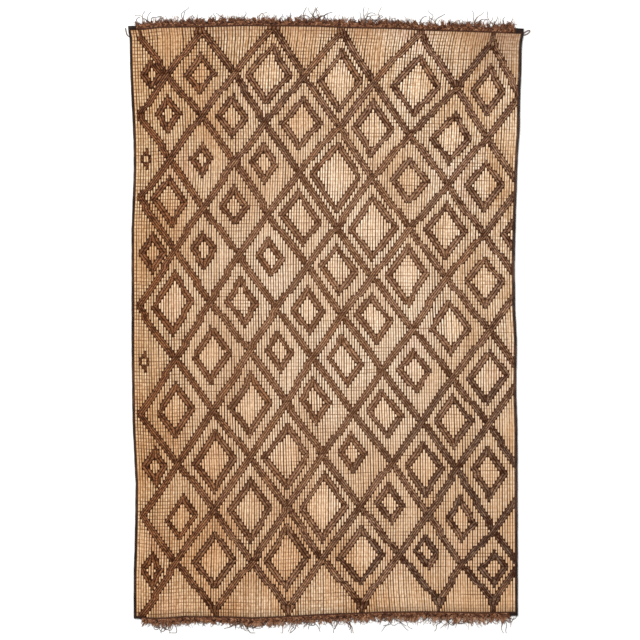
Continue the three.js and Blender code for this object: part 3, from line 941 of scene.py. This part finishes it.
class End:
    """One end of the mat: its edge, which way is out, and the span between its corner tabs."""

    def __init__(self, name):
        self.name = name
        self.side, self.edge, row = (1, TOP_EDGE, 0) if name == "top" else (-1, BOTTOM_EDGE, ROW_COUNT)
        self.start = place(0, row)[0] + TAB_REACH[name + "_left"] + SEAM_GAP
        self.stop = place(REED_COUNT, row)[0] - TAB_REACH[name + "_right"] - SEAM_GAP
        self.outwards = self.side * np.pi / 2

    def out(self, x, reach):
        """Places so far out from the edge of the field."""
        return np.stack([x, edge_at(self.edge, x) + self.side * reach], -1)


ENDS = [End("top"), End("bottom")]
SIDES = {"left": -1, "right": 1}
BINDING_RINGS = 300
TAB_RINGS = 5
DARK_RINGS = 60

# Waver along a binding: its mean, then the reach, radians a ring and start of each wave, in sides
BINDING_WAVES = {
    "width": (1, [(0.04, 0.9, 0), (0.05, 0.37, 1)]),
    "height": (0.94, [(0.03, 0.61, 1), (0.03, 0.23, 0)]),
    "tone": (0.75, [(0.25, 0.11, 0)]),
}

# Brown around the section of a binding, most on its inner edge, and the value that marks a loose thong
BINDING_TINT = np.array([1, 1, 0, 0, 0, 0, 0, 0.5])
THONG_TINT = 2


def binding_wave(measure, rings, side):
    """How a measure of a binding changes from ring to ring."""
    value, waves = BINDING_WAVES[measure]
    for reach, rate, start in waves:
        value = value + reach * np.sin(rings * rate + start * side)
    return value


def binding_path(hand):
    """A binding's path around both corners, and its full width as a vector at each place."""
    side = SIDES[hand]
    x, y = place(0 if side < 0 else REED_COUNT, np.linspace(0, ROW_COUNT, BINDING_RINGS))
    width = BINDING_WIDTH - SEAM_GAP
    path = np.stack([x + side * (SEAM_GAP + width / 2), y], -1)
    across = np.tile([side * width, 0.0], (BINDING_RINGS, 1))
    lines, depths = [], []
    for at, end in zip((0, -1), ENDS):
        corner = f"{end.name}_{hand}"
        depth = TAB_DEPTH[corner] - SEAM_GAP
        path[at, 1] += end.side * (SEAM_GAP + depth / 2)
        across[at] = (side * width, end.side * depth)
        reach = x[at] - side * np.linspace(TAB_REACH[corner], width, TAB_RINGS)
        lines.append(end.out(reach, SEAM_GAP + depth / 2))
        depths.append(np.tile([0.0, end.side * depth], (TAB_RINGS, 1)))
    path = np.concatenate([lines[0], path, lines[1][::-1]])
    return path, np.concatenate([depths[0], across, depths[1][::-1]])


def make_binding(hand, thong, material):
    """The binding of one long side, with its loose thong."""
    side = SIDES[hand]
    path, across = binding_path(hand)
    rings = np.arange(len(path))
    across = across * binding_wave("width", rings, side)[:, None]
    height = BINDING_HEIGHT * binding_wave("height", rings, side)
    from_end = np.minimum(rings, rings[::-1]) / DARK_RINGS
    tone = np.clip(from_end, 0, 1) * binding_wave("tone", rings, side)
    body = Body()
    body.tube(swept(STRIP_SECTION, path, across, height), tone=tone[:, None], wear=BINDING_TINT)
    body.tube(ribbon(STRIP_SECTION, thong, THONG_WIDTH, THONG_HEIGHT), tone=1.0, wear=THONG_TINT)
    return body.piece(f"binding_{hand}_leather", material, f"binding_{hand}")


# An end band's strips in millimetres: middle and width across the band, height, and tone
BAND_STRIPS = [(9.2, 17.4, 3.4, 0.3), (2.3, 4.0, 4.6, 0.14)]
BAND_RINGS = 160

# Its rows of slanted lays: middle, reach along and across the band, width, pitch, range of tones
BAND_LAYS = [
    (5.8, 2.2, 0.6, 2.4, 5.2, (0.2, 0.75)),
    (8.9, 3.2, 2.2, 4.0, 5.0, (0.0, 0.7)),
    (13.6, -3.2, 2.6, 4.2, 5.0, (0.0, 0.66)),
]

LAY_GIRTH = np.array([0.45, 0.9, 1, 0.9, 0.45])


def make_end_band(end, material):
    """The plaited band across one end, of strips and slanted lays."""
    body = Body()
    x = np.linspace(end.start, end.stop, BAND_RINGS)
    for offset, width, height, tone in BAND_STRIPS:
        across = np.tile([0.0, width], (BAND_RINGS, 1))
        body.tube(swept(STRIP_SECTION, end.out(x, offset), across, height), tone=tone)
    margin, shift, height, edge_height, lift, lift_spread = 4, 0.8, 1.9, 0.4, 2.9, 0.3
    t = np.linspace(-1, 1, len(LAY_GIRTH))
    heights = height * LAY_GIRTH + edge_height
    for offset, along, across, width, pitch, tones in BAND_LAYS:
        for at in np.arange(end.start + margin, end.stop - margin, pitch):
            at += RANDOM.uniform(-shift, shift)
            path = np.stack([at + along * t, edge_at(end.edge, at) + end.side * (offset + across * t)], -1)
            lifted = lift + RANDOM.uniform(-lift_spread, lift_spread)
            points = ribbon(STRIP_SECTION, path, width * LAY_GIRTH, heights, lifted)
            body.tube(points, tone=drawn(tones))
    return body.piece(f"end_band_{end.name}_plait", material, f"end_band_{end.name}")


# Each fringe: its curl, the tone of its roots, what its tips add, and its share of the reach drawn
FRINGES = {
    "top": {"curl": 1.0, "root_tone": 0.56, "tip_tone": 0.2, "share": 0.93},
    "bottom": {"curl": 2.2, "root_tone": 0.7, "tip_tone": 0.62, "share": 1.06},
}

# How far each fringe reaches past the field: place along the end, reach
REACHES = {
    "top": [(-600, 25), (-520, 31), (-300, 32), (0, 30), (250, 31), (450, 35), (600, 35)],
    "bottom": [(-590, 20), (-500, 31), (-400, 24), (-250, 30), (0, 30), (300, 32), (480, 38), (590, 32)],
}

# Clumps of stray thong ends: middle and spread along the end, how many
STRAYS = {
    "top": [
        (-560, 40, 6), (-442, 4, 3), (-200, 120, 6), (-30, 45, 14),
        (146, 40, 11), (330, 60, 5), (525, 75, 15),
    ],
    "bottom": [
        (-505, 40, 11), (-250, 60, 17), (-85, 75, 20), (70, 40, 11),
        (233, 45, 12), (385, 60, 16), (562, 20, 8),
    ],
}
STRAY_LIMIT = 994
STRAY_TONES = [0.1, 0.9, 1, 1]

# Widths along the ends of a tuft, thin ends and strays, as shares of the full width
TUFT_TAPER = np.array([1, 1, 0.85, 0.6, 0.2])
THIN_TAPER = np.linspace(1, 0.5, 7)
STRAY_TAPER = np.linspace(1, 0.6, 18)


def strand_path(start, heading, length, curl, steps):
    """A flat path that curls by a bend, and by the reach and count of its waves."""
    t = np.linspace(0, 1, steps)
    bend, wave, waves = curl
    turn = heading + bend * t + wave * np.sin(2 * np.pi * t * waves)
    moves = np.stack([np.cos(turn), np.sin(turn)], -1)[:-1] * (length / (steps - 1))
    return start + np.concatenate([[[0, 0]], np.cumsum(moves, 0)])


def loose_end(path, taper, size):
    """Rings of a loose thong end. Its size is the lift of root and tip, the width and the height."""
    root, tip, width, height = [drawn(measure) for measure in size]
    return ribbon(STRAND_SECTION, path, width * taper, height, np.linspace(root, tip, len(path)))


def add_tufts(body, end):
    """The dense shag: tufts of short thong ends that lean together."""
    count, margin, ends, spread, roots, tips = 280, 2, (4, 8), 3.6, (8, 17), (1.8, 2.8)
    sway_reach, sway_length, shares, bends, tones, palest = 5, 70, (0.56, 1.06), 0.5, (1.1, 1.5), 0.8
    size = [(1.8, 3.8), (0.2, 1.8), (1.8, 3.6), (1.0, 1.8)]
    fringe, steps = FRINGES[end.name], len(TUFT_TAPER)
    for tuft in RANDOM.uniform(end.start + margin, end.stop - margin, count):
        sway = sway_reach * np.sin(tuft / sway_length) + RANDOM.normal(0, sway_reach)
        reach = edge_at(REACHES[end.name], tuft) * drawn(shares) * fringe["share"]
        tip = end.out(tuft, reach) + (sway, 0)
        for _ in range(RANDOM.integers(*ends)):
            x = np.clip(tuft + RANDOM.normal(0, spread), end.start + margin / 2, end.stop - margin / 2)
            root = end.out(x, drawn(roots))
            to_tip = tip + RANDOM.normal(0, tips) - root
            bend = RANDOM.normal(0, bends)
            heading = np.arctan2(to_tip[1], to_tip[0]) - bend / 2
            path = strand_path(root, heading, np.linalg.norm(to_tip), (bend, 0, 1), steps)
            points = loose_end(path, TUFT_TAPER, size)
            tone = fringe["root_tone"] * RANDOM.beta(*tones) + fringe["tip_tone"] * np.linspace(0, 1, steps)
            body.tube(points, tone=np.minimum(tone, palest)[:, None])


def add_thin_ends(body, end):
    """Thinner thong ends that show past the shag."""
    count, margin, roots, hidden, shares = 560, 2, (14, 18), 12, (0.6, 1.7)
    wave, waves, slant = 0.5, 0.9, 0.7
    size = [(0.6, 3.0), (0.05, 1.2), (1.0, 2.0), (0.8, 1.3)]
    fringe = FRINGES[end.name]
    for x in RANDOM.uniform(end.start + margin, end.stop - margin, count):
        root = end.out(x, drawn(roots))
        curl = (RANDOM.normal(0, fringe["curl"]), RANDOM.normal(0, wave), waves)
        length = (edge_at(REACHES[end.name], x) - hidden) * drawn(shares) * fringe["share"]
        heading = end.outwards + RANDOM.normal(0, slant)
        path = strand_path(root, heading, length, curl, len(THIN_TAPER))
        body.tube(loose_end(path, THIN_TAPER, size), tone=RANDOM.uniform(0, 1))


def add_stray(body, end, middle, spread):
    """One long stray thong end of a clump."""
    margin, root, bends, slant, lengths = 4, 15, 1.4 * FRINGES[end.name]["curl"], 0.6, (32, 66)
    wave, waves = (0.1, 0.8), (0.6, 1.8)
    size = [(0.8, 2.5), 0.05, (1.7, 2.6), 1.1]
    x = np.clip(RANDOM.normal(middle, spread / 2), end.start + margin, end.stop - margin)
    curl = (RANDOM.normal(0, bends), drawn(wave), drawn(waves))
    heading = end.outwards + RANDOM.normal(0, slant)
    path = strand_path(end.out(x, root), heading, drawn(lengths), curl, len(STRAY_TAPER))
    path[:, 1] = end.side * np.minimum(end.side * path[:, 1], STRAY_LIMIT)
    body.tube(loose_end(path, STRAY_TAPER, size), tone=RANDOM.choice(STRAY_TONES))


def make_fringe(end, material):
    """The whole fringe along one end band."""
    body = Body()
    add_tufts(body, end)
    add_thin_ends(body, end)
    for middle, spread, count in STRAYS[end.name]:
        for _ in range(count):
            add_stray(body, end, middle, spread)
    return body.piece(f"fringe_{end.name}", material, f"end_band_{end.name}")


def make_stage():
    """Floor and light, in metres and watts."""
    floor_size, floor_height, sky = 60, -0.0005, 0.62
    watts, lamp_size, lamp_place = 1600, 5.5, (-5.5, 6.5, 10.5)
    bpy.ops.mesh.primitive_plane_add(size=floor_size, location=(0, 0, floor_height))
    floor = bpy.context.object
    floor.name = "floor"
    floor.data.materials.append(floor_material())
    scene = bpy.context.scene
    scene.world = bpy.data.worlds.new("studio")
    scene.world.use_nodes = True
    background = scene.world.node_tree.nodes["Background"]
    background.inputs["Color"].default_value = (1, 1, 1, 1)
    background.inputs["Strength"].default_value = sky
    lamp = bpy.data.lights.new("key", "AREA")
    lamp.energy = watts
    lamp.size = lamp_size
    key = bpy.data.objects.new("key", lamp)
    key.location = lamp_place
    key.rotation_euler = (-key.location).to_track_quat("-Z", "Y").to_euler()
    scene.collection.objects.link(key)
    scene.view_settings.view_transform = "Standard"


def make_camera():
    """Straight above the mat, with the photograph's framing."""
    lens, sensor, frame_width, x, far = 85, 36, 2.0333, -0.0127, 100
    data = bpy.data.cameras.new("camera")
    data.lens, data.sensor_width, data.clip_end = lens, sensor, far
    camera = bpy.data.objects.new("camera", data)
    camera.location = (x, 0.0, frame_width * lens / sensor)
    bpy.context.scene.collection.objects.link(camera)
    bpy.context.scene.camera = camera


make_camera()
make_stage()
weave = make_chart()
binding_leather = binding_material()
end_leather = fringe_material()
float_leather = float_material()
rows_piece = make_row_strips(row_material())
parts = make_reeds(weave, reed_material())
parts.append(make_floats(weave, LATTICE, "lattice_floats", float_leather))
parts.append(make_floats(weave, DIAMOND, "diamond_floats", float_leather))
parts.append(make_binding("left", hook_path(), binding_leather))
parts.append(make_binding("right", loop_path(), binding_leather))
parts += [make_end_band(end, end_leather) for end in ENDS]
parts += [make_fringe(end, end_leather) for end in ENDS]
